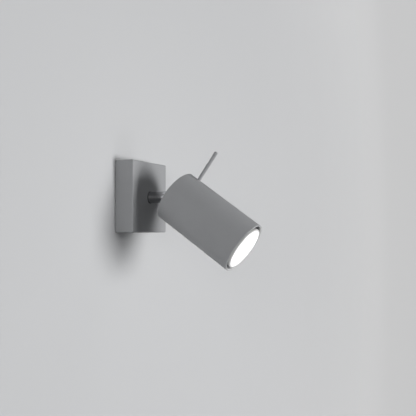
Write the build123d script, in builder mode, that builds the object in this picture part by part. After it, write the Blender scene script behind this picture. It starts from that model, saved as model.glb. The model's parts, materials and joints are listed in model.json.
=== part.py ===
from build123d import *
import os
from math import cos, radians, sin

# Pivoting spotlight wall light: a square box on the wall, a short chromed stem that
# swivels in the box's front, and a tubular head that tilts on the stem's end and holds
# a twist-lock reflector lamp.
# Frame: origin at the centre of the back face, X along the wall, +Y into the wall, +Z up.
# Lengths are millimetres and angles are degrees. Depths are measured out from the wall.

# ---------------------------------------------------------------- driving dimensions
# fits
SLIP = 0.1  # gap between pieces that slide together and stay
RUN = 0.05  # gap of a turning or threaded fit

# cover
COVER_SIDE = 80.0
COVER_DEPTH = 22.0
COVER_SHEET = 1.2
COVER_BEND_R = 1.4
COVER_SCREW_DEPTH = 8.0

# wall bracket
BRACKET_SHEET = 2.0
BRACKET_SIDE_GAP = 1.5
BRACKET_TOP_GAP = 0.5
BRACKET_CORNER_R = 3.0
LUG_W = 24.0
LUG_DEPTH = 13.0
LUG_BEND_R = 1.0
CABLE_HOLE_R = 15.0
WALL_SLOT_SPACING = 60.0
WALL_SLOT_LENGTH = 10.0
WALL_SLOT_R = 2.3
EARTH_FROM_SIDE = 14.0
EARTH_FROM_TOP = 16.0

# M3, M4 and block screws
M3_R = 1.5
M3_CSK_R = 3.0
M3_LENGTH = 6.0
M3_NUT_FLATS = 5.5
M3_NUT_H = 2.4
M4_R = 2.0
M4_HEAD_R = 3.6
M4_HEAD_H = 2.4
EARTH_WASHER_H = 1.0
EARTH_WASHER_R = 4.6
SOCKET_SHARE = 0.45  # size of a drive recess against its head

# terminal block
BLOCK_PITCH = 8.0
BLOCK_WAYS = 3
BLOCK_END_WALL = 3.0
BLOCK_H = 13.0
BLOCK_D = 12.0
BLOCK_FROM_LUG = 3.0
BLOCK_EDGE = 0.6
BARREL_SIDE = 4.4
BARREL_BORE_R = 1.5
BARREL_INSET = 0.5
CLAMP_R = 1.25
CLAMP_SPREAD = 6.4
CLAMP_SINK = 0.6
BLOCK_SCREW_X = 4.0

# stem and its swivel
STEM_R = 6.5
STEM_EDGE = 0.4
STEM_THREAD_R = 5.0
STEM_BORE_R = 2.6
STEM_TAIL_DEPTH = 11.6
PIVOT_DEPTH = 56.0
STIFFENER_SIDE = 54.0
STIFFENER_T = 2.0
BUSH_R = 7.0
BUSH_PROUD = 0.3
BUSH_FLANGE_R = 10.0
BUSH_FLANGE_T = 1.2
SPRING_WASHER_R = 8.5
SPRING_WASHER_T = 0.8
STOP_R = 9.0
STOP_T = 1.0
SWING_EACH_WAY = 165.0
STOP_ARM_REACH = 15.0
STOP_PIN_R = 1.5
STOP_PIN_REACH = 13.0
STOP_PIN_HEAD_R = 2.4
STEM_NUT_FLATS = 14.0
STEM_NUT_H = 3.0

# tilt joint
TILT_REST = 35.4
TONGUE_T = 6.0
TONGUE_LENGTH = 9.5
FRICTION_T = 0.8
FRICTION_R = 6.0
CHEEK_T = 2.5
CHEEK_R = 7.0
PIVOT_R = 2.5
PIVOT_HEAD_R = 4.5
PIVOT_HEAD_H = 2.8
PIVOT_NUT_FLATS = 8.0
PIVOT_NUT_H = 4.0
CONE_WASHER_R = 4.8
CONE_WASHER_T = 0.7

# head tube, its rear cup and the clevis on it; axial places run forward from the pivot
TUBE_R = 30.0
TUBE_WALL = 1.5
TUBE_LENGTH = 100.0
TUBE_EDGE = 0.3
CUP_AT = 20.0
CUP_SHEET = 1.5
CUP_FLANGE = 14.0
CUP_BEND_R = 2.0
CUP_FIX_AT = 11.0
CLEVIS_BASE_T = 2.0
CLEVIS_BASE_W = 28.0
CLEVIS_BASE_H = 15.0
CLEVIS_RIVET_X = 10.5
RIVET_R = 1.5
RIVET_HEAD_R = 2.6
RIVET_HEAD_H = 1.0
VENT_COUNT = 6
VENT_AT_R = 22.0
VENT_LENGTH = 8.0
VENT_W = 3.0

# handle rod on the tube's top side
ROD_R = 2.0
ROD_PROUD = 37.0
ROD_TIP = 0.3
ROD_THREAD_PAST_NUT = 1.0

# lampholder and its bridge
HOLDER_SPACE = 15.4
BRIDGE_SHEET = 1.2
BRIDGE_W = 31.0
BRIDGE_FOOT = 7.0
BRIDGE_DEPTH = 12.0
BRIDGE_BEND_R = 1.0
HOLDER_W = 32.0
HOLDER_H = 18.0
HOLDER_L = 16.0
HOLDER_CORNER_R = 4.0
HOLDER_LIP = 3.0
HOLDER_CHAMBER = 5.4
HOLDER_SCREW_X = 10.5
PIN_CIRCLE_R = 5.0
PIN_NECK_R = 1.5
PIN_NECK_L = 3.8
PIN_HEAD_R = 2.5
PIN_HEAD_L = 3.0
PIN_PLAY = 0.3
TWIST = 25.0
CONTACT_T = 0.6
CONTACT_TAIL_R = 0.9
CONTACT_TAIL_PROUD = 3.0

# lamp; its bezel stands just proud of the tube's front edge
LAMP_PROUD = 1.0
LAMP_R = 25.0
LAMP_LENGTH = 46.0
LAMP_BASE_R = 12.0
LAMP_NECK_AT = 8.0
LAMP_CONE_AT = 14.0
LAMP_CONE_R = 15.0
LAMP_RIM_H = 4.0
LAMP_WALL = 1.5
LENS_R = 23.3
LENS_T = 1.6
LENS_SEAT = 1.0
LAMP_EDGE = 0.4
BOARD_AT = 30.0
BOARD_T = 1.6

# leads
LEAD_R = 2.0
CORE_R = 0.9
LEAD_BEND_R = 5.0
GROMMET_AT = 13.0
GROMMET_R = 4.2
GROMMET_LIP_T = 1.0
GROMMET_NECK_R = 3.0
LEAD_LOOP_R = 7.5
LEAD_RISE = 6.5
CORE_CIRCLE_R = 1.06
CORE_STRAIGHT = 3.0

# ---------------------------------------------------------------- derived places
FROM_TOP = (Align.CENTER, Align.CENTER, Align.MAX)

WALL = Plane(origin=(0, 0, 0), x_dir=(1, 0, 0), z_dir=(0, -1, 0))
STEM_SECTION = Plane(origin=(0, 0, 0), x_dir=(0, 0, 1), z_dir=(1, 0, 0))

pivot = (0, -PIVOT_DEPTH, 0)
head_forward = (0, -cos(radians(TILT_REST)), -sin(radians(TILT_REST)))
head_up = (0, -sin(radians(TILT_REST)), cos(radians(TILT_REST)))
HEAD = Plane(origin=pivot, x_dir=(1, 0, 0), z_dir=head_forward)
HEAD_SECTION = Plane(origin=pivot, x_dir=head_up, z_dir=(1, 0, 0))
HEAD_FLAT = Plane(origin=pivot, x_dir=(1, 0, 0), z_dir=tuple(-part for part in head_up))
STEM_AXIS = Axis((0, 0, 0), (0, -1, 0))
HEAD_AXIS = Axis(pivot, head_forward)

cover_inside = COVER_DEPTH - COVER_SHEET
bracket_w = COVER_SIDE - 2 * COVER_SHEET - 2 * BRACKET_SIDE_GAP
bracket_h = COVER_SIDE - 2 * COVER_SHEET - 2 * BRACKET_TOP_GAP
earth_x = bracket_w / 2 - EARTH_FROM_SIDE
earth_z = bracket_h / 2 - EARTH_FROM_TOP
block_z = BLOCK_FROM_LUG + BRACKET_SHEET + BLOCK_H / 2 - bracket_h / 2
stiffener_back = cover_inside - STIFFENER_T
bush_back = stiffener_back - BUSH_FLANGE_T
spring_back = bush_back - SPRING_WASHER_T
stop_back = spring_back - STOP_T
stop_arm_w = 2 * (STOP_PIN_REACH * sin(radians(180 - SWING_EACH_WAY)) - STOP_PIN_R - RUN)
stem_nut_back = stop_back - STEM_NUT_H
shoulder_depth = COVER_DEPTH + BUSH_PROUD
tongue_depth = PIVOT_DEPTH - TONGUE_LENGTH
block_front = BRACKET_SHEET + BLOCK_D
barrel_depth = BRACKET_SHEET + BLOCK_D / 2
block_top = block_z + BLOCK_H / 2

tube_bore_r = TUBE_R - TUBE_WALL
cup_r = tube_bore_r - SLIP
cup_front = CUP_AT + CUP_SHEET
cup_fix_r = cup_r - CUP_SHEET
clevis_gap = TONGUE_T / 2 + FRICTION_T + 2 * RUN
cheek_outer = clevis_gap + CHEEK_T
holder_back = cup_front + HOLDER_SPACE
holder_front = holder_back + HOLDER_L
lamp_base_at = holder_front + SLIP
lamp_front = lamp_base_at + LAMP_LENGTH
lens_back = lamp_front - LENS_T
tube_front = lamp_front - LAMP_PROUD
tube_rear = tube_front - TUBE_LENGTH
chamber_front = holder_front - HOLDER_LIP
chamber_back = chamber_front - HOLDER_CHAMBER
pin_end = lamp_base_at - PIN_NECK_L - PIN_HEAD_L
rim_at = LAMP_LENGTH - LAMP_RIM_H
foot_mid = cup_front + BRIDGE_SHEET / 2
crown_mid = holder_back - BRIDGE_SHEET / 2
leg_mid = (BRIDGE_W - BRIDGE_SHEET) / 2
foot_x = BRIDGE_W / 2 + BRIDGE_FOOT / 2
foot_end = BRIDGE_W / 2 + BRIDGE_FOOT


def from_wall(side, up, depth):
    """Point beside and above the centre of the back face, at a depth from the wall."""
    return WALL.from_local_coords((side, up, depth))


def from_head(side, up, forward):
    """Point beside, above and forward of the pivot, in the head's own directions."""
    return HEAD.from_local_coords((side, up, forward))


# ---------------------------------------------------------------- shared forms
def countersunk_screws(planes, length):
    """M3 countersunk screws, each with its flat head in a plane."""
    head_h = M3_CSK_R - M3_R
    with BuildPart() as screws:
        for plane in planes:
            with Locations(plane):
                Cone(M3_R, M3_CSK_R, head_h, align=FROM_TOP)
                Cylinder(M3_R, length, align=FROM_TOP)
            with BuildSketch(plane):
                RegularPolygon(M3_CSK_R * SOCKET_SHARE, 6)
            extrude(amount=-head_h / 2, mode=Mode.SUBTRACT)
    return screws


def headed_screws(plane, spots, shank_r, length, head_r, head_h):
    """Round-headed screws with a hexagonal drive; the heads stand on the plane."""
    with BuildPart() as screws:
        with BuildSketch(plane):
            with Locations(*spots):
                Circle(head_r)
        extrude(amount=head_h)
        with BuildSketch(plane):
            with Locations(*spots):
                Circle(shank_r)
        extrude(amount=-length)
        with BuildSketch(plane.offset(head_h)):
            with Locations(*spots):
                RegularPolygon(head_r * SOCKET_SHARE, 6)
        extrude(amount=-head_h / 2, mode=Mode.SUBTRACT)
    return screws


def nuts(plane, spots, flats, height, bore_r):
    """Hexagon nuts standing on the plane."""
    with BuildPart() as group:
        with BuildSketch(plane):
            with Locations(*spots):
                RegularPolygon(flats / 2, 6, major_radius=False)
                Circle(bore_r + RUN, mode=Mode.SUBTRACT)
        extrude(amount=height)
    return group


def washers(planes, outer_r, bore_r, thickness):
    """Flat rings, one standing on each plane."""
    with BuildPart() as group:
        for plane in planes:
            with BuildSketch(plane):
                Circle(outer_r)
                Circle(bore_r, mode=Mode.SUBTRACT)
            extrude(amount=thickness)
    return group


def rivets(plane, spots, grip):
    """Flat rivets through a stack of the given grip, with a head at each end."""
    with BuildPart() as group:
        with BuildSketch(plane):
            with Locations(*spots):
                Circle(RIVET_HEAD_R)
        extrude(amount=-RIVET_HEAD_H)
        with BuildSketch(plane.offset(grip)):
            with Locations(*spots):
                Circle(RIVET_HEAD_R)
        extrude(amount=RIVET_HEAD_H)
        with BuildSketch(plane):
            with Locations(*spots):
                Circle(RIVET_R)
        extrude(amount=grip)
    return group


def leads(routes, bends, radius):
    """Round leads, each along straight runs joined by arcs."""
    with BuildPart() as group:
        for route in routes:
            with BuildLine() as path:
                FilletPolyline(*route, radius=bends)
            with BuildSketch(Plane(origin=path.line @ 0, z_dir=path.line % 0)):
                Circle(radius)
            sweep(path=path.line)
    return group


def cores(routes):
    """Thin insulated cores, each in straight runs that meet in mitres."""
    with BuildPart() as group:
        for route in routes:
            with BuildLine() as path:
                Polyline(*route)
            with BuildSketch(Plane(origin=path.line @ 0, z_dir=path.line % 0)):
                Circle(CORE_R)
            sweep(path=path.line, transition=Transition.RIGHT)
    return group


# ---------------------------------------------------------------- box on the wall
top_and_bottom = [
    Plane(origin=(0, -COVER_SCREW_DEPTH, side * COVER_SIDE / 2), x_dir=(1, 0, 0), z_dir=(0, 0, side))
    for side in (1, -1)
]

with BuildPart() as cover:
    with BuildSketch(WALL):
        Rectangle(COVER_SIDE, COVER_SIDE)
    extrude(amount=COVER_DEPTH)
    front = cover.faces().sort_by(Axis.Y)[0]
    fillet(front.edges() + cover.edges().filter_by(Axis.Y), COVER_BEND_R)
    offset(amount=-COVER_SHEET, openings=cover.faces().sort_by(Axis.Y)[-1])
    with Locations(WALL.offset(COVER_DEPTH)):
        Hole(BUSH_R + SLIP)
    with Locations(*top_and_bottom):
        CounterSinkHole(M3_R + SLIP, M3_CSK_R + SLIP, depth=2 * COVER_SHEET)

with BuildPart() as wall_bracket:
    with BuildSketch(WALL):
        RectangleRounded(bracket_w, bracket_h, BRACKET_CORNER_R)
    extrude(amount=BRACKET_SHEET)
    with BuildSketch(WALL):
        with GridLocations(0, bracket_h - BRACKET_SHEET, 1, 2):
            Rectangle(LUG_W, BRACKET_SHEET)
    extrude(amount=LUG_DEPTH)
    along = wall_bracket.edges().filter_by(Axis.X)
    bend_z = bracket_h / 2 - BRACKET_SHEET
    inner = along.filter_by(lambda edge: abs(abs(edge.center().Z) - bend_z) < RUN)
    fillet(inner.filter_by(lambda edge: abs(edge.center().Y + BRACKET_SHEET) < RUN), LUG_BEND_R)
    with BuildSketch(WALL):
        Circle(CABLE_HOLE_R)
        with GridLocations(WALL_SLOT_SPACING, 0, 2, 1):
            SlotOverall(WALL_SLOT_LENGTH, 2 * WALL_SLOT_R)
        with Locations((earth_x, earth_z)):
            Circle(M4_R + RUN)
        with GridLocations(2 * BLOCK_SCREW_X, 0, 2, 1):
            with Locations((0, block_z)):
                Circle(CLAMP_R + RUN)
    extrude(amount=BRACKET_SHEET, mode=Mode.SUBTRACT)
    with Locations(*top_and_bottom):
        Hole(M3_R + RUN, depth=LUG_DEPTH)

cover_screws = countersunk_screws(top_and_bottom, M3_LENGTH)

EARTH_SPOT = WALL.offset(BRACKET_SHEET)
with BuildPart() as earth_washer:
    with BuildSketch(EARTH_SPOT):
        with Locations((earth_x, earth_z)):
            Circle(EARTH_WASHER_R)
            Circle(M4_R + RUN, mode=Mode.SUBTRACT)
    extrude(amount=EARTH_WASHER_H)
earth_screw = headed_screws(
    EARTH_SPOT.offset(EARTH_WASHER_H),
    [(earth_x, earth_z)],
    M4_R,
    EARTH_WASHER_H + BRACKET_SHEET,
    M4_HEAD_R,
    M4_HEAD_H,
)

# three-way terminal block: square brass barrels stand upright in the moulding, two screws each
block_w = BLOCK_WAYS * BLOCK_PITCH + 2 * BLOCK_END_WALL
BLOCK_TOP = Plane(origin=(0, -barrel_depth, block_top), x_dir=(1, 0, 0), z_dir=(0, 0, 1))
CLAMP_FACE = Plane(origin=(0, -block_front, block_z), x_dir=(1, 0, 0), z_dir=(0, -1, 0))

with BuildPart() as terminal_block:
    with BuildSketch(WALL.offset(BRACKET_SHEET)):
        with Locations((0, block_z)):
            Rectangle(block_w, BLOCK_H)
    extrude(amount=BLOCK_D)
    chamfer(terminal_block.faces().sort_by(Axis.Y)[0].edges(), BLOCK_EDGE)
    with BuildSketch(BLOCK_TOP):
        with GridLocations(BLOCK_PITCH, 0, BLOCK_WAYS, 1):
            Rectangle(BARREL_SIDE + 2 * RUN, BARREL_SIDE + 2 * RUN)
    extrude(amount=-BLOCK_H, mode=Mode.SUBTRACT)
    with BuildSketch(CLAMP_FACE):
        with GridLocations(BLOCK_PITCH, CLAMP_SPREAD, BLOCK_WAYS, 2):
            Circle(CLAMP_R + RUN)
    extrude(amount=-BLOCK_D / 2, mode=Mode.SUBTRACT)
    with BuildSketch(CLAMP_FACE):
        with GridLocations(2 * BLOCK_SCREW_X, 0, 2, 1):
            Circle(CLAMP_R + RUN)
    extrude(amount=-BLOCK_D, mode=Mode.SUBTRACT)

with BuildPart() as terminal_barrels:
    with BuildSketch(BLOCK_TOP.offset(-BARREL_INSET)):
        with GridLocations(BLOCK_PITCH, 0, BLOCK_WAYS, 1):
            Rectangle(BARREL_SIDE, BARREL_SIDE)
            Circle(BARREL_BORE_R, mode=Mode.SUBTRACT)
    extrude(amount=-(BLOCK_H - 2 * BARREL_INSET))
    with BuildSketch(CLAMP_FACE):
        with GridLocations(BLOCK_PITCH, CLAMP_SPREAD, BLOCK_WAYS, 2):
            Circle(CLAMP_R + RUN)
    extrude(amount=-BLOCK_D / 2, mode=Mode.SUBTRACT)

with BuildPart() as terminal_screws:
    with BuildSketch(CLAMP_FACE.offset(-CLAMP_SINK)):
        with GridLocations(BLOCK_PITCH, CLAMP_SPREAD, BLOCK_WAYS, 2):
            Circle(CLAMP_R)
    extrude(amount=-(BLOCK_D / 2 - CLAMP_SINK - CORE_R - RUN))
    with BuildSketch(CLAMP_FACE.offset(-CLAMP_SINK)):
        with GridLocations(BLOCK_PITCH, CLAMP_SPREAD, BLOCK_WAYS, 2):
            Rectangle(2 * CLAMP_R, CLAMP_R * SOCKET_SHARE)
    extrude(amount=-CLAMP_SINK, mode=Mode.SUBTRACT)

block_screws = headed_screws(
    CLAMP_FACE,
    [(-BLOCK_SCREW_X, 0), (BLOCK_SCREW_X, 0)],
    CLAMP_R,
    BLOCK_D + BRACKET_SHEET,
    CLAMP_R + BLOCK_EDGE,
    BLOCK_EDGE * 2,
)

# ---------------------------------------------------------------- swivel in the box's front
with BuildPart() as stiffener_plate:
    with BuildSketch(WALL.offset(stiffener_back)):
        RectangleRounded(STIFFENER_SIDE, STIFFENER_SIDE, BRACKET_CORNER_R)
        Circle(BUSH_R + SLIP, mode=Mode.SUBTRACT)
        with Locations((0, STOP_PIN_REACH)):
            Circle(STOP_PIN_R + RUN, mode=Mode.SUBTRACT)
    extrude(amount=STIFFENER_T)

with BuildPart() as stem_bush:
    with BuildSketch(WALL.offset(bush_back)):
        Circle(BUSH_FLANGE_R)
    extrude(amount=BUSH_FLANGE_T)
    with BuildSketch(WALL.offset(stiffener_back)):
        Circle(BUSH_R)
    extrude(amount=shoulder_depth - stiffener_back)
    with Locations(WALL.offset(shoulder_depth)):
        Hole(STEM_THREAD_R + RUN)

# the pin meets the arm of the stop washer on either side, just past the end of the swing
with BuildPart() as stop_pin:
    with BuildSketch(WALL.offset(stop_back)):
        with Locations((0, STOP_PIN_REACH)):
            Circle(STOP_PIN_R)
    extrude(amount=cover_inside - stop_back)
    with BuildSketch(WALL.offset(bush_back)):
        with Locations((0, STOP_PIN_REACH)):
            Circle(STOP_PIN_HEAD_R)
    extrude(amount=stiffener_back - bush_back)

spring_washer = washers([WALL.offset(spring_back)], SPRING_WASHER_R, STEM_THREAD_R + RUN, SPRING_WASHER_T)

with BuildPart() as stop_washer:
    with BuildSketch(WALL.offset(stop_back)):
        Circle(STOP_R)
        with Locations((0, -STOP_ARM_REACH / 2)):
            Rectangle(stop_arm_w, STOP_ARM_REACH)
        Circle(STEM_THREAD_R + RUN, mode=Mode.SUBTRACT)
    extrude(amount=STOP_T)

stem_nut = nuts(WALL.offset(stem_nut_back), [(0, 0)], STEM_NUT_FLATS, STEM_NUT_H, STEM_THREAD_R)

# turned stem: threaded tail, plain body, then a flat tongue rounded about the tilt pivot
exit_bend_depth = tongue_depth - STEM_R - STEM_BORE_R / 2
with BuildPart() as stem:
    with BuildSketch(STEM_SECTION):
        with BuildLine():
            Polyline(
                (0, STEM_TAIL_DEPTH),
                (STEM_THREAD_R - STEM_EDGE, STEM_TAIL_DEPTH),
                (STEM_THREAD_R, STEM_TAIL_DEPTH + STEM_EDGE),
                (STEM_THREAD_R, shoulder_depth),
                (STEM_R - STEM_EDGE, shoulder_depth),
                (STEM_R, shoulder_depth + STEM_EDGE),
                (STEM_R, tongue_depth - STEM_EDGE),
                (STEM_R - STEM_EDGE, tongue_depth),
                (0, tongue_depth),
                close=True,
            )
        make_face()
    revolve(axis=STEM_AXIS)
    with BuildSketch(STEM_SECTION):
        with Locations((0, PIVOT_DEPTH)):
            Circle(STEM_R)
        with Locations((0, PIVOT_DEPTH - TONGUE_LENGTH / 2)):
            Rectangle(2 * STEM_R, TONGUE_LENGTH)
    extrude(amount=TONGUE_T / 2, both=True)
    with Locations(Plane(origin=pivot, z_dir=(1, 0, 0))):
        Hole(PIVOT_R + RUN)
    with BuildSketch(WALL.offset(STEM_TAIL_DEPTH)):
        Circle(STEM_BORE_R)
    extrude(amount=exit_bend_depth - STEM_TAIL_DEPTH, mode=Mode.SUBTRACT)
    with BuildSketch(Plane(origin=from_wall(0, 0, exit_bend_depth), z_dir=(0, -1, 1))):
        Circle(STEM_BORE_R)
    extrude(amount=3 * STEM_R, mode=Mode.SUBTRACT)
    with Locations(from_wall(0, 0, exit_bend_depth)):
        Sphere(STEM_BORE_R, mode=Mode.SUBTRACT)

# ---------------------------------------------------------------- tilt joint
with BuildPart() as clevis:
    with BuildSketch(HEAD.offset(CUP_AT - CLEVIS_BASE_T)):
        RectangleRounded(CLEVIS_BASE_W, CLEVIS_BASE_H, BRACKET_CORNER_R)
        with GridLocations(2 * CLEVIS_RIVET_X, 0, 2, 1):
            Circle(RIVET_R + RUN, mode=Mode.SUBTRACT)
    extrude(amount=CLEVIS_BASE_T)
    for inner_x in (clevis_gap, -cheek_outer):
        with BuildSketch(HEAD_SECTION.offset(inner_x)):
            Circle(CHEEK_R)
            with Locations((0, CUP_AT / 2)):
                Rectangle(2 * CHEEK_R, CUP_AT)
        extrude(amount=CHEEK_T)
    with Locations(Plane(origin=pivot, z_dir=(1, 0, 0))):
        Hole(PIVOT_R + RUN)

CHEEK_FACE = HEAD_SECTION.offset(cheek_outer)
friction_washers = washers(
    [HEAD_SECTION.offset(TONGUE_T / 2 + RUN), HEAD_SECTION.offset(-TONGUE_T / 2 - RUN - FRICTION_T)],
    FRICTION_R,
    PIVOT_R + RUN,
    FRICTION_T,
)
pivot_screw = headed_screws(
    -HEAD_SECTION.offset(-cheek_outer),
    [(0, 0)],
    PIVOT_R,
    2 * cheek_outer + CONE_WASHER_T + PIVOT_NUT_H + STEM_EDGE,
    PIVOT_HEAD_R,
    PIVOT_HEAD_H,
)
with BuildPart() as cone_washer:
    with BuildSketch(CHEEK_FACE):
        Circle(CONE_WASHER_R)
    extrude(amount=CONE_WASHER_T, taper=45)
    with Locations(CHEEK_FACE):
        Hole(PIVOT_R + RUN)
pivot_nut = nuts(CHEEK_FACE.offset(CONE_WASHER_T), [(0, 0)], PIVOT_NUT_FLATS, PIVOT_NUT_H, PIVOT_R)

# ---------------------------------------------------------------- head
ROD_SEAT = Plane(origin=from_head(0, TUBE_R, CUP_FIX_AT), x_dir=(1, 0, 0), z_dir=head_up)
LOWER_SEAT = Plane(
    origin=from_head(0, -TUBE_R, CUP_FIX_AT), x_dir=(1, 0, 0), z_dir=tuple(-part for part in head_up)
)

with BuildPart() as head_tube:
    with BuildSketch(HEAD.offset(tube_rear)):
        Circle(TUBE_R)
        Circle(tube_bore_r, mode=Mode.SUBTRACT)
    extrude(amount=TUBE_LENGTH)
    chamfer(head_tube.edges().filter_by(GeomType.CIRCLE), TUBE_EDGE)
    with Locations(ROD_SEAT):
        Hole(M3_R + SLIP, depth=TUBE_R / 2)
    with Locations(LOWER_SEAT):
        CounterSinkHole(M3_R + SLIP, M3_CSK_R + SLIP, depth=TUBE_R / 2)

# drawn cup inside the tube's rear: it closes the lamp space and carries the clevis
with BuildPart() as rear_cup:
    with BuildSketch(HEAD_SECTION):
        with BuildLine():
            cup_outline = FilletPolyline(
                (0, cup_front),
                (cup_r, cup_front),
                (cup_r, cup_front - CUP_FLANGE),
                (cup_fix_r, cup_front - CUP_FLANGE),
                (cup_fix_r, CUP_AT),
                (0, CUP_AT),
                radius=[CUP_BEND_R, 0, 0, CUP_BEND_R - CUP_SHEET],
            )
            Line(cup_outline @ 1, cup_outline @ 0)
        make_face()
    revolve(axis=HEAD_AXIS)
    with BuildSketch(HEAD.offset(CUP_AT)):
        with PolarLocations(VENT_AT_R, VENT_COUNT, start_angle=180 / VENT_COUNT):
            SlotOverall(VENT_LENGTH, VENT_W, rotation=90)
        with GridLocations(2 * CLEVIS_RIVET_X, 0, 2, 1):
            Circle(RIVET_R + RUN)
        with GridLocations(2 * foot_x, 0, 2, 1):
            Circle(RIVET_R + RUN)
        with Locations((0, GROMMET_AT)):
            Circle(GROMMET_NECK_R + SLIP)
    extrude(amount=CUP_SHEET, mode=Mode.SUBTRACT)
    with Locations(ROD_SEAT, LOWER_SEAT):
        Hole(M3_R + SLIP, depth=TUBE_R / 2)

clevis_rivets = rivets(
    HEAD.offset(CUP_AT - CLEVIS_BASE_T),
    [(-CLEVIS_RIVET_X, 0), (CLEVIS_RIVET_X, 0)],
    CLEVIS_BASE_T + CUP_SHEET,
)

# plain rod with a reduced thread that a nut holds inside the cup's flange
with BuildPart() as handle_rod:
    with BuildSketch(ROD_SEAT):
        Circle(ROD_R)
    extrude(amount=ROD_PROUD)
    tip = handle_rod.faces().sort_by(Axis(pivot, head_up))[-1]
    chamfer(tip.edges(), ROD_TIP)
    with BuildSketch(ROD_SEAT):
        Circle(M3_R)
    extrude(amount=-(TUBE_R - cup_fix_r + M3_NUT_H + ROD_THREAD_PAST_NUT))

nut_corner_r = M3_NUT_FLATS / 2 / cos(radians(30))
nut_seat_r = (cup_fix_r**2 - nut_corner_r**2) ** 0.5 - RUN
fix_length = TUBE_R - cup_fix_r + M3_NUT_H + ROD_THREAD_PAST_NUT
cup_screw = countersunk_screws([LOWER_SEAT], fix_length)
with BuildPart() as cup_nuts:
    for seat in (ROD_SEAT, LOWER_SEAT):
        with BuildSketch(seat.offset(nut_seat_r - TUBE_R)):
            RegularPolygon(M3_NUT_FLATS / 2, 6, major_radius=False)
            Circle(M3_R + RUN, mode=Mode.SUBTRACT)
        extrude(amount=-M3_NUT_H)

# ---------------------------------------------------------------- lampholder
# hat-shaped bridge: feet on the cup, crown under the lampholder
with BuildPart() as holder_bridge:
    with BuildSketch(HEAD_FLAT):
        with BuildLine():
            FilletPolyline(
                (-foot_end, foot_mid),
                (-leg_mid, foot_mid),
                (-leg_mid, crown_mid),
                (leg_mid, crown_mid),
                (leg_mid, foot_mid),
                (foot_end, foot_mid),
                radius=BRIDGE_BEND_R,
            )
        trace(line_width=BRIDGE_SHEET)
    extrude(amount=BRIDGE_DEPTH / 2, both=True)
    with BuildSketch(HEAD.offset(holder_back)):
        with GridLocations(2 * HOLDER_SCREW_X, 0, 2, 1):
            Circle(M3_R + SLIP)
        SlotOverall(2 * PIN_CIRCLE_R + HOLDER_LIP * 2, HOLDER_LIP * 2)
    extrude(amount=-2 * BRIDGE_SHEET, mode=Mode.SUBTRACT)
    with BuildSketch(HEAD.offset(cup_front)):
        with GridLocations(2 * foot_x, 0, 2, 1):
            Circle(RIVET_R + RUN)
    extrude(amount=BRIDGE_SHEET, mode=Mode.SUBTRACT)

bridge_rivets = rivets(HEAD.offset(CUP_AT), [(-foot_x, 0), (foot_x, 0)], CUP_SHEET + BRIDGE_SHEET)

# ceramic holder: keyhole slots in the front lip, a ring chamber for the pin heads behind it
pin_travel = CenterArc((0, 0), PIN_CIRCLE_R, 0, TWIST)
with BuildPart() as lampholder:
    with BuildSketch(HEAD.offset(holder_back)):
        RectangleRounded(HOLDER_W, HOLDER_H, HOLDER_CORNER_R)
    extrude(amount=HOLDER_L)
    chamfer(lampholder.faces().sort_by(HEAD_AXIS)[-1].edges(), STEM_EDGE)
    with BuildSketch(HEAD.offset(chamber_front)):
        with PolarLocations(0, 2):
            SlotArc(pin_travel, 2 * (PIN_NECK_R + PIN_PLAY))
        with PolarLocations(PIN_CIRCLE_R, 2, start_angle=TWIST):
            Circle(PIN_HEAD_R + PIN_PLAY)
    extrude(amount=HOLDER_LIP, mode=Mode.SUBTRACT)
    with BuildSketch(HEAD.offset(chamber_back)):
        Circle(PIN_CIRCLE_R + PIN_HEAD_R + PIN_PLAY)
        Circle(PIN_CIRCLE_R - PIN_HEAD_R - PIN_PLAY, mode=Mode.SUBTRACT)
    extrude(amount=HOLDER_CHAMBER, mode=Mode.SUBTRACT)
    with BuildSketch(HEAD.offset(holder_back)):
        with PolarLocations(PIN_CIRCLE_R, 2):
            Circle(CONTACT_TAIL_R + SLIP)
    extrude(amount=chamber_back - holder_back, mode=Mode.SUBTRACT)
    with BuildSketch(HEAD.offset(holder_back)):
        with GridLocations(2 * HOLDER_SCREW_X, 0, 2, 1):
            Circle(M3_R + RUN)
    extrude(amount=HOLDER_L / 2, mode=Mode.SUBTRACT)

with BuildPart() as holder_contacts:
    with BuildSketch(HEAD.offset(pin_end - RUN - CONTACT_T)):
        with PolarLocations(PIN_CIRCLE_R, 2):
            Circle(PIN_HEAD_R)
    extrude(amount=CONTACT_T)
    with BuildSketch(HEAD.offset(holder_back - CONTACT_TAIL_PROUD)):
        with PolarLocations(PIN_CIRCLE_R, 2):
            Circle(CONTACT_TAIL_R)
    extrude(amount=pin_end - RUN - holder_back + CONTACT_TAIL_PROUD)

holder_screws = headed_screws(
    -HEAD.offset(holder_back - BRIDGE_SHEET),
    [(-HOLDER_SCREW_X, 0), (HOLDER_SCREW_X, 0)],
    M3_R,
    M3_LENGTH,
    M3_NUT_FLATS / 2,
    M3_R,
)

# ---------------------------------------------------------------- lamp
seat_r = LENS_R - LENS_SEAT
well_r = LAMP_CONE_R - LAMP_WALL
well_at = LAMP_CONE_AT + LAMP_WALL
with BuildPart() as lamp_housing:
    with BuildSketch(HEAD_SECTION):
        with BuildLine():
            Polyline(
                (0, lamp_base_at),
                (LAMP_BASE_R, lamp_base_at),
                (LAMP_BASE_R, lamp_base_at + LAMP_NECK_AT),
                (LAMP_CONE_R, lamp_base_at + LAMP_CONE_AT),
                (LAMP_R, lamp_base_at + rim_at),
                (LAMP_R, lamp_front - LAMP_EDGE),
                (LAMP_R - LAMP_EDGE, lamp_front),
                (LENS_R + SLIP, lamp_front),
                (LENS_R + SLIP, lens_back),
                (seat_r, lens_back),
                (seat_r, lamp_base_at + rim_at),
                (well_r, lamp_base_at + well_at),
                (0, lamp_base_at + well_at),
                close=True,
            )
        make_face()
    revolve(axis=HEAD_AXIS)

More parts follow.
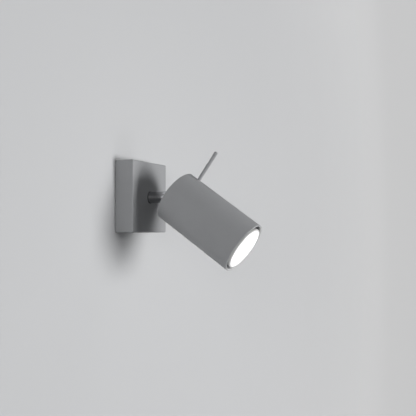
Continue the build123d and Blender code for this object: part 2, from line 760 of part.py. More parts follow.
with BuildPart() as lamp_lens:
    with BuildSketch(HEAD.offset(lens_back)):
        Circle(LENS_R)
    extrude(amount=LENS_T)
    chamfer(lamp_lens.faces().sort_by(HEAD_AXIS)[-1].edges(), LAMP_EDGE)

board_share = (BOARD_AT - well_at) / (rim_at - well_at)
board_r = well_r + board_share * (seat_r - well_r) - SLIP
with BuildPart() as led_board:
    with BuildSketch(HEAD.offset(lamp_base_at + BOARD_AT)):
        Circle(board_r)
    extrude(amount=BOARD_T)

with BuildPart() as lamp_pins:
    with BuildSketch(HEAD.offset(lamp_base_at)):
        with PolarLocations(PIN_CIRCLE_R, 2):
            Circle(PIN_NECK_R)
    extrude(amount=-PIN_NECK_L)
    with BuildSketch(HEAD.offset(lamp_base_at - PIN_NECK_L)):
        with PolarLocations(PIN_CIRCLE_R, 2):
            Circle(PIN_HEAD_R)
    extrude(amount=-PIN_HEAD_L)

# ---------------------------------------------------------------- leads, one sleeved run
with BuildPart() as lead_grommet:
    with BuildSketch(HEAD.offset(CUP_AT - GROMMET_LIP_T)):
        with Locations((0, GROMMET_AT)):
            Circle(GROMMET_R)
    extrude(amount=GROMMET_LIP_T)
    with BuildSketch(HEAD.offset(CUP_AT)):
        with Locations((0, GROMMET_AT)):
            Circle(GROMMET_NECK_R)
    extrude(amount=CUP_SHEET)
    with BuildSketch(HEAD.offset(cup_front)):
        with Locations((0, GROMMET_AT)):
            Circle(GROMMET_R)
    extrude(amount=GROMMET_LIP_T)
    with Locations(Plane(origin=from_head(0, GROMMET_AT, CUP_AT), z_dir=head_forward)):
        Hole(LEAD_R + RUN)

# box: from the stem's tail down to the block, then three cores into the barrels
lead_back = LEAD_BEND_R + RUN
lead_low = block_top + LEAD_BEND_R + LEAD_R
box_lead = leads(
    [[from_wall(0, 0, STEM_TAIL_DEPTH), from_wall(0, 0, lead_back), from_wall(0, lead_low, lead_back)]],
    LEAD_BEND_R,
    LEAD_R,
)
core_routes = []
for way in range(BLOCK_WAYS):
    turn = radians(210 - 360 / BLOCK_WAYS * way)
    from_x = CORE_CIRCLE_R * cos(turn)
    from_depth = lead_back + CORE_CIRCLE_R * sin(turn)
    to_x = (way - (BLOCK_WAYS - 1) / 2) * BLOCK_PITCH
    core_routes.append(
        [
            from_wall(from_x, lead_low, from_depth),
            from_wall(from_x, lead_low - LEAD_R, from_depth),
            from_wall(to_x, block_top + LEAD_R, barrel_depth),
            from_wall(to_x, block_top - BLOCK_H / 4, barrel_depth),
        ]
    )
box_cores = cores(core_routes)

# stem: along the bore and out at the top of the shoulder, where the flexible loop starts
exit_depth = exit_bend_depth + STEM_R
stem_lead = leads(
    [
        [
            from_wall(0, 0, STEM_TAIL_DEPTH),
            from_wall(0, 0, exit_bend_depth),
            from_wall(0, STEM_R, exit_depth),
        ]
    ],
    LEAD_BEND_R,
    LEAD_R,
)
flex_end = cup_front + GROMMET_LIP_T
flex_lead = leads(
    [
        [
            from_wall(0, STEM_R, exit_depth),
            from_wall(0, STEM_R + LEAD_RISE, exit_depth + LEAD_RISE),
            from_head(0, GROMMET_AT, 0),
            from_head(0, GROMMET_AT, flex_end),
        ]
    ],
    [LEAD_LOOP_R, 3 * LEAD_LOOP_R],
    LEAD_R,
)

# head: two cores from the grommet to the tails of the contacts
tail_end = holder_back - CONTACT_TAIL_PROUD
tail_routes = [
    [
        from_head(side * (CORE_R + RUN), GROMMET_AT, flex_end),
        from_head(side * (CORE_R + RUN), GROMMET_AT, flex_end + CORE_STRAIGHT),
        from_head(side * PIN_CIRCLE_R, 0, tail_end - CORE_STRAIGHT),
        from_head(side * PIN_CIRCLE_R, 0, tail_end),
    ]
    for side in (-1, 1)
]
head_cores = cores(tail_routes)

pieces = {
    "cover": cover,
    "wall_bracket": wall_bracket,
    "cover_screws": cover_screws,
    "earth_washer": earth_washer,
    "earth_screw": earth_screw,
    "terminal_block": terminal_block,
    "terminal_barrels": terminal_barrels,
    "terminal_screws": terminal_screws,
    "block_screws": block_screws,
    "stiffener_plate": stiffener_plate,
    "stem_bush": stem_bush,
    "stop_pin": stop_pin,
    "spring_washer": spring_washer,
    "stop_washer": stop_washer,
    "stem_nut": stem_nut,
    "stem": stem,
    "clevis": clevis,
    "friction_washers": friction_washers,
    "pivot_screw": pivot_screw,
    "cone_washer": cone_washer,
    "pivot_nut": pivot_nut,
    "head_tube": head_tube,
    "rear_cup": rear_cup,
    "clevis_rivets": clevis_rivets,
    "handle_rod": handle_rod,
    "cup_screw": cup_screw,
    "cup_nuts": cup_nuts,
    "holder_bridge": holder_bridge,
    "bridge_rivets": bridge_rivets,
    "lampholder": lampholder,
    "holder_contacts": holder_contacts,
    "holder_screws": holder_screws,
    "lamp_housing": lamp_housing,
    "lamp_lens": lamp_lens,
    "led_board": led_board,
    "lamp_pins": lamp_pins,
    "lead_grommet": lead_grommet,
    "box_lead": box_lead,
    "box_cores": box_cores,
    "stem_lead": stem_lead,
    "flex_lead": flex_lead,
    "head_cores": head_cores,
}
os.makedirs("parts", exist_ok=True)
for label, piece in pieces.items():
    piece.part.label = label
    export_step(piece.part, f"parts/{label}.step")
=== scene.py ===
import json
from math import cos, pi, radians, sin

import bmesh
import bpy
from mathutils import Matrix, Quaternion, Vector


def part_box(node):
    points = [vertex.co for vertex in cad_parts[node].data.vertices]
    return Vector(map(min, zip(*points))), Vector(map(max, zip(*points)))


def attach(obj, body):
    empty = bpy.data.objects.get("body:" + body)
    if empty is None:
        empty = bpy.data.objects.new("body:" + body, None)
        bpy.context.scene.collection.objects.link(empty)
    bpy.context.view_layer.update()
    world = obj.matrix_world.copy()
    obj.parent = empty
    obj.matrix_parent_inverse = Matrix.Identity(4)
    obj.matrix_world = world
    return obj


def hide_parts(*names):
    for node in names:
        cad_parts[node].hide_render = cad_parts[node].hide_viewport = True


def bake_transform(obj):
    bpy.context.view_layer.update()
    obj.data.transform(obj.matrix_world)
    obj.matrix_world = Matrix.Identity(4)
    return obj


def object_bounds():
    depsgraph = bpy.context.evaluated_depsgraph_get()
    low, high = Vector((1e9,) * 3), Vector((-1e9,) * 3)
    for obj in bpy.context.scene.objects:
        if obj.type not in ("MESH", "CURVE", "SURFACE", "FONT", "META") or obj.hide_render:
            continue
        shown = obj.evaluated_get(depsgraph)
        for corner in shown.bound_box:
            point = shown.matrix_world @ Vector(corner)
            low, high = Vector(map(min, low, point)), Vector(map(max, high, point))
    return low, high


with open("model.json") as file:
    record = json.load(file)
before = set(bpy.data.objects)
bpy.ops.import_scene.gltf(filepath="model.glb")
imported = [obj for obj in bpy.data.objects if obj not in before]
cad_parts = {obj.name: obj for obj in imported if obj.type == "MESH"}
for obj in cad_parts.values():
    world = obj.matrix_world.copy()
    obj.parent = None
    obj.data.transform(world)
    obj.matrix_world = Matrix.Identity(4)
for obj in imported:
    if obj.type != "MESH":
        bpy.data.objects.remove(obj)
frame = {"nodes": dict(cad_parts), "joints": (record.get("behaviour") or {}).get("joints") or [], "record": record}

cad_low, cad_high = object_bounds()
nodes = frame["nodes"]
joints = {joint["name"]: joint for joint in frame["joints"]}

# Places on the light, in metres, from the frame: the tilt pivot and the head's directions.
PIVOT = Vector(joints["tilt"]["pos_m"])
FORWARD = Vector(joints["lamp_twist"]["axis"]).normalized()
SIDE = Vector((1, 0, 0))
UP = FORWARD.cross(SIDE)

# The camera: its place in metres, its angles in degrees and its focal length in pixels come
# from a fit of the photograph's outlines. The sensor is in millimetres, clipping in metres.
PHOTO_SIDE = 416
CAMERA_AT = (-0.7078, -0.3970, -0.0361)
CAMERA_AZIMUTH = -66.8
CAMERA_PITCH = 1.73
CAMERA_FOCAL_PIXELS = 700
SENSOR = 36
CLIP_START = 0.01
CLIP_END = 50

# Edges, in metres: the rounding that shading gives them, how far their lighter coat reaches from them, which is
# abraded coat and painted highlight, and on the tube's front only painted highlight, and how deep that painted
# highlight on the tube's front is.
EDGE_ROUNDING = 0.0002
COAT_WEAR_AND_HIGHLIGHT = 0.0005
RIM_HIGHLIGHT = 0.0012
RIM_HIGHLIGHT_DEPTH = 0.003

# Samples of the rounded normals, and how like the true normal, as a cosine, a rounded one is where the coat's edge
# is painted lighter, as abraded coat and painted highlight, and where the coat is plain.
ROUNDING_SAMPLES = 4
WEAR_AND_HIGHLIGHT_SAMPLES = 6
WORN_AND_HIGHLIT_LIKENESS = 0.8
PLAIN_COAT_LIKENESS = 0.95

# Heights of relief, in metres.
PEBBLE_RELIEF = 0.00007
COAT_GRAIN_RELIEF = 0.00003
METAL_RELIEF = 0.000006
MOULD_RELIEF = 0.00002
GLAZE_RELIEF = 0.00002
LENS_RELIEF = 0.00002
PLASTER_RELIEF = 0.00003

# The lit lamp: the strength of its lens, and of the stray light at its own rim and on the
# tube's bore, which fades over a depth behind each front, in metres. On the tube's front
# edge it fades outwards over a breadth.
LENS_STRENGTH = 1.1
RIM_GLOW_STRENGTH = 0.25
RIM_GLOW_DEPTH = 0.0025
SPILL_STRENGTH = 0.36
SPILL_DEPTH = 0.003
SPILL_BREADTH = 0.0008
STRAY_COLOUR = (1, 0.995, 0.98, 1)


# ---------------------------------------------------------------- node materials
class Finish:
    """A procedural material under construction: one shader and the nodes that feed it."""

    def __init__(self, name):
        self.material = bpy.data.materials.new(name)
        self.material.use_nodes = True
        self.tree = self.material.node_tree
        self.tree.nodes.clear()
        self.shader = self.tree.nodes.new("ShaderNodeBsdfPrincipled")
        self.output = self.tree.nodes.new("ShaderNodeOutputMaterial")
        self.tree.links.new(self.shader.outputs[0], self.output.inputs["Surface"])
        self.place = self.tree.nodes.new("ShaderNodeTexCoord").outputs["Object"]

    def constant(self, **values):
        """Numbers and colours that are the same all over, on the shader's own sockets."""
        for name, value in values.items():
            self.shader.inputs[name.replace("_", " ")].default_value = value
        return self

    def noise(self, scale, detail=4.0, roughness=0.55, stretch=None):
        """A 0 to 1 pattern; scale is in cycles per metre, stretch scales the three axes."""
        place = self.place
        if stretch:
            mapping = self.tree.nodes.new("ShaderNodeMapping")
            mapping.inputs["Scale"].default_value = stretch
            self.tree.links.new(place, mapping.inputs["Vector"])
            place = mapping.outputs["Vector"]
        node = self.tree.nodes.new("ShaderNodeTexNoise")
        node.inputs["Scale"].default_value = scale
        node.inputs["Detail"].default_value = detail
        node.inputs["Roughness"].default_value = roughness
        self.tree.links.new(place, node.inputs["Vector"])
        return node.outputs["Fac"]

    def cells(self, scale):
        """Distance to the nearest of scattered points, in cycles per metre."""
        node = self.tree.nodes.new("ShaderNodeTexVoronoi")
        node.inputs["Scale"].default_value = scale
        self.tree.links.new(self.place, node.inputs["Vector"])
        return node.outputs["Distance"]

    def vector(self, operation, first, second=None):
        """A vector operation on a pattern; the second operand is a fixed vector."""
        node = self.tree.nodes.new("ShaderNodeVectorMath")
        node.operation = operation
        self.tree.links.new(first, node.inputs[0])
        if second is not None:
            node.inputs[1].default_value = second
        return node.outputs

    def reach(self, way, start):
        """Distance from a start along a direction, in metres."""
        offset = self.vector("SUBTRACT", self.place, start)["Vector"]
        return self.vector("DOT_PRODUCT", offset, way)["Value"]

    def aside(self, way, start):
        """Distance from the line through a start along a direction, in metres."""
        offset = self.vector("SUBTRACT", self.place, start)["Vector"]
        across = self.vector("CROSS_PRODUCT", offset, way)["Vector"]
        return self.vector("LENGTH", across)["Value"]

    def ramp(self, pattern, stops):
        """Colours along a pattern; stops are (position, colour)."""
        node = self.tree.nodes.new("ShaderNodeValToRGB")
        points = node.color_ramp.elements
        while len(points) < len(stops):
            points.new(0.5)
        for point, (position, colour) in zip(points, stops):
            point.position = position
            point.color = (*colour, 1)
        self.tree.links.new(pattern, node.inputs["Fac"])
        return node.outputs["Color"]

    def between(self, pattern, low, high, from_low=0.3, from_high=0.7, easing="LINEAR"):
        """The pattern spread over low to high."""
        node = self.tree.nodes.new("ShaderNodeMapRange")
        node.interpolation_type = easing
        node.inputs["From Min"].default_value = from_low
        node.inputs["From Max"].default_value = from_high
        node.inputs["To Min"].default_value = low
        node.inputs["To Max"].default_value = high
        self.tree.links.new(pattern, node.inputs["Value"])
        return node.outputs["Result"]

    def edges(self, radius):
        """0 on flat and gently curved faces, rising to 1 within a radius of edges."""
        rounded = self.tree.nodes.new("ShaderNodeBevel")
        rounded.samples = WEAR_AND_HIGHLIGHT_SAMPLES
        rounded.inputs["Radius"].default_value = radius
        exact = self.tree.nodes.new("ShaderNodeNewGeometry")
        likeness = self.tree.nodes.new("ShaderNodeVectorMath")
        likeness.operation = "DOT_PRODUCT"
        self.tree.links.new(rounded.outputs["Normal"], likeness.inputs[0])
        self.tree.links.new(exact.outputs["Normal"], likeness.inputs[1])
        likeness = likeness.outputs["Value"]
        return self.between(likeness, 1.0, 0.0, WORN_AND_HIGHLIT_LIKENESS, PLAIN_COAT_LIKENESS)

    def product(self, first, second):
        """One pattern times another."""
        node = self.tree.nodes.new("ShaderNodeMath")
        node.operation = "MULTIPLY"
        self.tree.links.new(first, node.inputs[0])
        self.tree.links.new(second, node.inputs[1])
        return node.outputs["Value"]

    def mixed(self, amount, under, over):
        """One colour over another, as far as a 0 to 1 pattern says."""
        node = self.tree.nodes.new("ShaderNodeMix")
        node.data_type = "RGBA"
        under_socket, over_socket = [s for s in node.inputs if s.type == "RGBA"]
        self.tree.links.new(amount, node.inputs["Factor"])
        self.tree.links.new(under, under_socket)
        self.tree.links.new(over, over_socket)
        return [s for s in node.outputs if s.type == "RGBA"][0]

    def feed(self, name, value):
        """Links a pattern to one of the shader's sockets."""
        self.tree.links.new(value, self.shader.inputs[name])

    def bumps(self, *layers):
        """Relief from (pattern, height in metres) layers, stacked on softly rounded edges."""
        edge = self.tree.nodes.new("ShaderNodeBevel")
        edge.samples = ROUNDING_SAMPLES
        edge.inputs["Radius"].default_value = EDGE_ROUNDING
        normal = edge.outputs["Normal"]
        for pattern, height in layers:
            node = self.tree.nodes.new("ShaderNodeBump")
            node.inputs["Strength"].default_value = 1.0
            node.inputs["Distance"].default_value = height
            self.tree.links.new(pattern, node.inputs["Height"])
            self.tree.links.new(normal, node.inputs["Normal"])
            normal = node.outputs["Normal"]
        self.tree.links.new(normal, self.shader.inputs["Normal"])

    def stray_light(self, front, depth, strength, bore_r=None):
        """The lamp's stray light, growing up to a front; with a bore's radius, only in there."""
        reach = self.reach(FORWARD, PIVOT)
        light = self.between(reach, 0.0, strength, front - depth, front)
        if bore_r is not None:
            aside = self.aside(FORWARD, PIVOT)
            inside = self.between(aside, 1.0, 0.0, bore_r, bore_r + SPILL_BREADTH)
            light = self.product(inside, light)
        self.feed("Emission Strength", light)
        self.constant(Emission_Color=STRAY_COLOUR)


def along(node):
    """How far behind and before the tilt pivot a CAD node reaches, along the head."""
    places = [FORWARD.dot(vertex.co - PIVOT) for vertex in nodes[node].data.vertices]
    return min(places), max(places)


def bore(node):
    """How near a CAD node comes to the head's axis."""
    offsets = [vertex.co - PIVOT for vertex in nodes[node].data.vertices]
    return min(offset.cross(FORWARD).length for offset in offsets)


def shade(colour, factor):
    """A colour made lighter or darker."""
    return tuple(min(1.0, part * factor) for part in colour)


def powder_coat(name, colour, wear_and_highlight, highlight_from=None):
    """Matt textured powder coat: fine pebbling, faint cloudiness, and edges painted lighter, which stands for
    abraded coat and a painted highlight.

    Given a start along the head, only edges further along the head than that are painted lighter.
    """
    finish = Finish(name)
    cloud = finish.noise(28, 5)
    pebble = finish.noise(1300, 2, 0.5)
    grain = finish.noise(3400, 3, 0.6)
    stops = [(0.3, shade(colour, 0.96)), (0.5, colour), (0.72, shade(colour, 1.04))]
    speckle = finish.ramp(grain, [(0.3, shade(colour, 0.88)), (0.7, shade(colour, 1.12))])
    # Edge colour 1.9 to 2.4 times the coat's: abraded coat and a painted highlight.
    rubbed_and_highlight = finish.ramp(grain, [(0.3, shade(colour, 1.9)), (0.7, shade(colour, 2.4))])
    coat = finish.mixed(finish.between(pebble, 0.1, 0.7), finish.ramp(cloud, stops), speckle)
    worn_and_highlit = finish.edges(wear_and_highlight)
    if highlight_from is not None:
        reach = finish.reach(FORWARD, PIVOT)
        ahead = finish.between(reach, 0.0, 1.0, highlight_from, highlight_from + wear_and_highlight)
        worn_and_highlit = finish.product(worn_and_highlit, ahead)
    finish.feed("Base Color", finish.mixed(worn_and_highlit, coat, rubbed_and_highlight))
    finish.feed("Roughness", finish.between(grain, 0.52, 0.66))
    finish.bumps((pebble, PEBBLE_RELIEF), (grain, COAT_GRAIN_RELIEF))
    return finish.constant(Specular_IOR_Level=0.4)


def plated(name, colour, rough, grain_scale, smear=0.06, brush=None):
    """Plated or plain metal: roughness that wanders, light handling marks and fine lines."""
    finish = Finish(name)
    cloud = finish.noise(60, 5)
    lines = finish.noise(grain_scale, 3, 0.6, brush)
    finish.feed("Base Color", finish.ramp(cloud, [(0.25, shade(colour, 0.9)), (0.75, colour)]))
    finish.feed("Roughness", finish.between(lines, max(rough - smear, 0.02), rough + smear))
    finish.bumps((lines, METAL_RELIEF))
    return finish.constant(Metallic=1.0)


def moulded(name, colour, rough, grain_scale=700):
    """Moulded plastic or rubber with a faint spark-eroded grain."""
    finish = Finish(name)
    cloud = finish.noise(90, 4)
    grain = finish.noise(grain_scale, 3)
    finish.feed("Base Color", finish.ramp(cloud, [(0.3, shade(colour, 0.92)), (0.7, colour)]))
    finish.feed("Roughness", finish.between(grain, rough - 0.07, rough + 0.1))
    finish.bumps((grain, MOULD_RELIEF))
    return finish.constant(IOR=1.47)


def glazed(name, colour):
    """Glazed ceramic: soft gloss over tiny pits, with a warm speckle in the body."""
    finish = Finish(name)
    pits = finish.cells(900)
    cloud = finish.noise(120, 5)
    stops = [(0.35, shade(colour, 0.9)), (0.6, colour)]
    finish.feed("Base Color", finish.ramp(cloud, stops))
    finish.feed("Roughness", finish.between(pits, 0.3, 0.14, 0.05, 0.3))
    finish.bumps((pits, GLAZE_RELIEF))
    return finish.constant(Coat_Weight=0.4, Coat_Roughness=0.12)


def lit_lens(name, strength):
    """Opal diffuser of the lit lamp: evenly lit, faintly mottled."""
    finish = Finish(name)
    mottle = finish.noise(220, 4)
    body = [(0.3, (0.4, 0.4, 0.39)), (0.7, (0.46, 0.46, 0.45))]
    light = [(0.2, (0.97, 0.98, 1)), (0.8, (1, 1, 1))]
    finish.feed("Base Color", finish.ramp(mottle, body))
    finish.feed("Roughness", finish.between(mottle, 0.22, 0.34))
    finish.feed("Emission Color", finish.ramp(mottle, light))
    finish.bumps((finish.cells(1400), LENS_RELIEF))
    return finish.constant(Emission_Strength=strength)


GREY = (0.295, 0.299, 0.306)
lamp_body = moulded("lamp_plastic", (0.5, 0.5, 0.5), 0.34)
lamp_body.stray_light(along("lamp_housing")[1], RIM_GLOW_DEPTH, RIM_GLOW_STRENGTH)
finishes = {
    "painted_steel": powder_coat("grey_powder_coat", GREY, COAT_WEAR_AND_HIGHLIGHT),
    "zinc_steel": plated("zinc_plate", (0.62, 0.63, 0.64), 0.34, 420),
    "chrome": plated("chrome_plate", (0.6, 0.6, 0.61), 0.04, 300, 0.02, (1, 0.08, 1)),
    "brass": plated("brass", (0.74, 0.55, 0.26), 0.3, 500),
    "nickel": plated("nickel_plate", (0.68, 0.66, 0.62), 0.25, 500),
    "terminal_plastic": moulded("natural_polyamide", (0.78, 0.78, 0.74), 0.42),
    "black_plastic": moulded("black_polyamide", (0.04, 0.04, 0.042), 0.4),
    "ceramic": glazed("glazed_steatite", (0.8, 0.79, 0.75)),
    "lamp_body": lamp_body,
    "lamp_lens": lit_lens("lit_opal", LENS_STRENGTH),
    "board": moulded("board_mask", (0.74, 0.76, 0.74), 0.35),
    "sleeve": moulded("silicone_sleeve", (0.02, 0.02, 0.021), 0.5, 1500),
    "core_insulation": moulded("core_silicone", (0.62, 0.62, 0.6), 0.48, 1500),
    "rubber": moulded("black_rubber", (0.03, 0.03, 0.031), 0.62),
}
slots = {part["node"]: part["material_slot"] for part in frame["record"]["subparts"]}

# The tube's finish differs a little from its slot's: its front edge is painted lighter, a painted highlight, and
# its bore glows with the lamp's stray light.
tube_front = along("head_tube")[1]
tube_coat = powder_coat("grey_coat_highlit_rim", GREY, RIM_HIGHLIGHT, tube_front - RIM_HIGHLIGHT_DEPTH)
tube_coat.stray_light(tube_front, SPILL_DEPTH, SPILL_STRENGTH, bore("head_tube"))
own_finishes = {"head_tube": tube_coat}


def dress(piece, slot):
    """Gives a piece or CAD node its own finish, or else the one of its slot."""
    piece.data.materials.clear()
    piece.data.materials.append(own_finishes.get(piece.name, finishes[slot]).material)


for name, node in nodes.items():
    dress(node, slots[name])


# ---------------------------------------------------------------- pieces made here
MM = 0.001

# The flexible lead: from the stem's upper side over the tilt pivot to the grommet in the cup.
# Its grommet and end are placed up from the head's axis and forward of the pivot.
LEAD_R = 2 * MM
LEAD_STEPS = 24
LEAD_ROUND_STEPS = 8
STEM_EXIT = Vector((0, -45.2, 6.5)) * MM
LEAD_RISE = Vector((0, -6.5, 6.5)) * MM
GROMMET_UP = 13 * MM
LEAD_END = 22.5 * MM


def flexible_lead():
    """The lead's loop over the tilt joint, one smooth tube."""
    route = [
        STEM_EXIT,
        STEM_EXIT + LEAD_RISE,
        PIVOT + UP * GROMMET_UP,
        PIVOT + UP * GROMMET_UP + FORWARD * LEAD_END,
    ]
    line = bpy.data.curves.new("flexible_lead_line", "CURVE")
    line.dimensions = "3D"
    line.resolution_u = LEAD_STEPS
    line.bevel_depth = LEAD_R
    line.bevel_resolution = LEAD_ROUND_STEPS
    line.use_fill_caps = True
    spline = line.splines.new("NURBS")
    spline.points.add(len(route) - 1)
    for point, place in zip(spline.points, route):
        point.co = (*place, 1)
    spline.order_u = 3
    spline.use_endpoint_u = True
    carrier = bpy.data.objects.new("flexible_lead_line", line)
    bpy.context.scene.collection.objects.link(carrier)
    bpy.context.view_layer.update()
    graph = bpy.context.evaluated_depsgraph_get()
    mesh = bpy.data.meshes.new_from_object(carrier.evaluated_get(graph))
    bpy.data.objects.remove(carrier)
    piece = bpy.data.objects.new("flexible_lead", mesh)
    bpy.context.scene.collection.objects.link(piece)
    for face in mesh.polygons:
        face.use_smooth = True
    dress(piece, "sleeve")
    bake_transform(piece)
    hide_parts("flex_lead")
    return piece


# The lamp's places along its axis, from the back of its base, its radii there, and its fins.
NECK_AT = 8 * MM
CONE_AT = 14 * MM
RIM_AT = 42 * MM
NECK_R = 12 * MM
CONE_R = 15 * MM
RIM_R = 25 * MM
RIB_COUNT = 30
RIB_T = 0.9 * MM
RIB_PROUD = 1.3 * MM
RIB_BITE = 0.3 * MM


def prism(mesh, outline, thickness_way):
    """Adds a flat solid: an outline of points, given a thickness both ways."""
    half = thickness_way / 2
    near = [mesh.verts.new(point - half) for point in outline]
    far = [mesh.verts.new(point + half) for point in outline]
    mesh.faces.new(near)
    mesh.faces.new(reversed(far))
    for here in range(len(outline)):
        after = (here + 1) % len(outline)
        mesh.faces.new((near[after], near[here], far[here], far[after]))


def piece_of(mesh, name, slot, body):
    """Turns a mesh under construction into a piece that rides on a CAD body."""
    bmesh.ops.recalc_face_normals(mesh, faces=mesh.faces)
    data = bpy.data.meshes.new(name)
    mesh.to_mesh(data)
    mesh.free()
    piece = bpy.data.objects.new(name, data)
    bpy.context.scene.collection.objects.link(piece)
    dress(piece, slot)
    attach(piece, body)
    return piece


def cooling_ribs():
    """Thin fins round the lamp's conical back, from its neck to its rim."""
    lamp_back = along("lamp_housing")[0]
    mesh = bmesh.new()
    for index in range(RIB_COUNT):
        turn = Quaternion(FORWARD, 2 * pi * index / RIB_COUNT)
        out = turn @ UP
        outline = [
            PIVOT + FORWARD * (lamp_back + at) + out * reach
            for at, reach in (
                (NECK_AT, NECK_R - RIB_BITE),
                (CONE_AT, CONE_R - RIB_BITE),
                (RIM_AT, RIM_R - RIB_BITE),
                (RIM_AT, RIM_R),
                (CONE_AT, CONE_R + RIB_PROUD),
                (NECK_AT, NECK_R + RIB_PROUD),
            )
        ]
        prism(mesh, outline, (turn @ SIDE) * RIB_T)
    return piece_of(mesh, "cooling_ribs", "lamp_body", "lamp")


flexible_lead()
cooling_ribs()


# ---------------------------------------------------------------- stage, lights and camera
def flat(name, corners, faces):
    """A stage piece from the corners and faces of flat shapes."""
    mesh = bpy.data.meshes.new(name)
    mesh.from_pydata(corners, [], faces)
    piece = bpy.data.objects.new(name, mesh)
    bpy.context.scene.collection.objects.link(piece)
    return piece


def shown(tree, in_gloss):
    """1 to the camera and through glass, and a share of that in reflections."""
    path = tree.nodes.new("ShaderNodeLightPath")
    straight = tree.nodes.new("ShaderNodeMath")
    straight.operation = "ADD"
    tree.links.new(path.outputs["Is Camera Ray"], straight.inputs[0])
    tree.links.new(path.outputs["Is Transmission Ray"], straight.inputs[1])
    seen = tree.nodes.new("ShaderNodeMath")
    seen.operation = "MULTIPLY_ADD"
    tree.links.new(path.outputs["Is Glossy Ray"], seen.inputs[0])
    seen.inputs[1].default_value = in_gloss
    tree.links.new(straight.outputs["Value"], seen.inputs[2])
    return seen.outputs["Value"]


def plaster(name, colour, one_sided=False, glow=0.0, glow_from=None):
    """Pale painted plaster; one-sided, it isn't there from behind.

    Glow keeps it pale where the lamps don't reach: everywhere, or growing between two
    distances from the light's own axis.
    """
    finish = Finish(name)
    cloud = finish.noise(3, 4)
    grain = finish.noise(500, 3)
    finish.feed("Base Color", finish.ramp(cloud, [(0.2, shade(colour, 0.985)), (0.8, colour)]))
    finish.bumps((grain, PLASTER_RELIEF))
    finish.constant(Roughness=0.9, Specular_IOR_Level=0.2)
    if glow:
        strength = finish.between(shown(finish.tree, GLOW_IN_GLOSS), 0.0, glow, 0.0, 1.0)
        if glow_from:
            away = finish.aside(INTO_WALL, (0, 0, 0))
            far = finish.between(away, 0.0, 1.0, *glow_from, easing="SMOOTHSTEP")
            strength = finish.product(strength, far)
        finish.feed("Emission Strength", strength)
        finish.constant(Emission_Color=(1, 1, 1, 1))
    if one_sided:
        tree = finish.tree
        clear = tree.nodes.new("ShaderNodeBsdfTransparent")
        mix = tree.nodes.new("ShaderNodeMixShader")
        back = tree.nodes.new("ShaderNodeNewGeometry").outputs["Backfacing"]
        tree.links.new(back, mix.inputs["Fac"])
        tree.links.new(finish.shader.outputs[0], mix.inputs[1])
        tree.links.new(clear.outputs[0], mix.inputs[2])
        tree.links.new(mix.outputs[0], finish.output.inputs["Surface"])
    return finish.material


# The stage's colour, its glow where the lamps don't reach, and its size in metres.
PALE = (0.53, 0.534, 0.541)
INTO_WALL = (0, 1, 0)
FLOOR_GLOW = 0.36
WALL_GLOW = 0.51
WALL_GLOW_FROM = (0.15, 1.75)
GLOW_IN_GLOSS = 0.3
FLOOR_BELOW = 0.95
STAGE_REACH = 4.0
floor_z = cad_low.z - FLOOR_BELOW
stage_low, stage_high = -STAGE_REACH, STAGE_REACH
floor_corners = (
    (stage_low, stage_low),
    (stage_high, stage_low),
    (stage_high, stage_high),
    (stage_low, stage_high),
)
floor = flat("floor", [(x, y, floor_z) for x, y in floor_corners], [(0, 1, 2, 3)])
floor.data.materials.append(plaster("floor_plaster", PALE, glow=FLOOR_GLOW))

# The wall stands just behind the light and is open where the cover hides it, so that the
# wiring side is lit when it is seen from behind.
WALL_GAP = 0.0004
OPEN_INSET = 0.003
cover_low, cover_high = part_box("cover")
outer = (
    (stage_low, floor_z),
    (stage_high, floor_z),
    (stage_high, stage_high),
    (stage_low, stage_high),
)
x_low, z_low = cover_low.x + OPEN_INSET, cover_low.z + OPEN_INSET
x_high, z_high = cover_high.x - OPEN_INSET, cover_high.z - OPEN_INSET
inner = ((x_low, z_low), (x_high, z_low), (x_high, z_high), (x_low, z_high))
wall = flat(
    "wall",
    [(x, WALL_GAP, z) for x, z in (*outer, *inner)],
    [(0, 1, 5, 4), (1, 2, 6, 5), (2, 3, 7, 6), (3, 0, 4, 7)],
)
wall.data.materials.append(
    plaster("wall_plaster", PALE, one_sided=True, glow=WALL_GLOW, glow_from=WALL_GLOW_FROM)
)


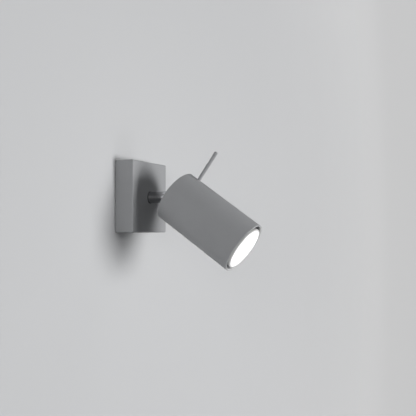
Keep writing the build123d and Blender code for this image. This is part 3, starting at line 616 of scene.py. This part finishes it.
def area_light(name, place, target, side, watts, spread=180):
    """A square soft light aimed at a point; a spread under 180 degrees narrows its beam."""
    data = bpy.data.lights.new(name, "AREA")
    data.shape = "SQUARE"
    data.size = side
    data.energy = watts
    data.spread = radians(spread)
    light = bpy.data.objects.new(name, data)
    light.location = place
    light.rotation_mode = "QUATERNION"
    light.rotation_quaternion = (Vector(target) - Vector(place)).to_track_quat("-Z", "Y")
    bpy.context.scene.collection.objects.link(light)


# Each light's place and side in metres, its watts and its spread in degrees.
middle = (cad_low + cad_high) / 2
area_light("front_soft", (0.44, -2.3, -0.24), middle, side=1.0, watts=10.2, spread=75)
area_light("top_soft", (0.9, -0.7, 1.1), middle, side=0.6, watts=1.0)
area_light("side_soft", (-2.1, -0.5, 0.3), middle, side=0.8, watts=1.9, spread=60)
area_light("back_soft", (0.7, 1.7, 0.6), middle, side=1.0, watts=14.0)

# The world: how strongly it lights, how strong it looks, and how much of that gloss shows.
SKY_COLOUR = (0.94, 0.96, 1.0, 1)
SKY_FILL = 0.12
SKY_SEEN = 0.6
SKY_IN_GLOSS = 0.3
world = bpy.data.worlds.new("studio")
bpy.context.scene.world = world
world.use_nodes = True
world_tree = world.node_tree
background = world_tree.nodes["Background"]
background.inputs["Color"].default_value = SKY_COLOUR
level = world_tree.nodes.new("ShaderNodeMapRange")
level.inputs["To Min"].default_value = SKY_FILL
level.inputs["To Max"].default_value = SKY_SEEN
world_tree.links.new(shown(world_tree, SKY_IN_GLOSS), level.inputs["Value"])
world_tree.links.new(level.outputs["Result"], background.inputs["Strength"])

azimuth, pitch = radians(CAMERA_AZIMUTH), radians(CAMERA_PITCH)
look = Vector((-sin(azimuth) * cos(pitch), cos(azimuth) * cos(pitch), sin(pitch)))
camera_data = bpy.data.cameras.new("camera")
camera_data.sensor_width = SENSOR
camera_data.lens = CAMERA_FOCAL_PIXELS / PHOTO_SIDE * SENSOR
camera_data.clip_start = CLIP_START
camera_data.clip_end = CLIP_END
camera = bpy.data.objects.new("camera", camera_data)
camera.location = CAMERA_AT
camera.rotation_mode = "QUATERNION"
camera.rotation_quaternion = look.to_track_quat("-Z", "Y")
bpy.context.scene.collection.objects.link(camera)
bpy.context.scene.camera = camera
bpy.context.scene.view_settings.view_transform = "Standard"
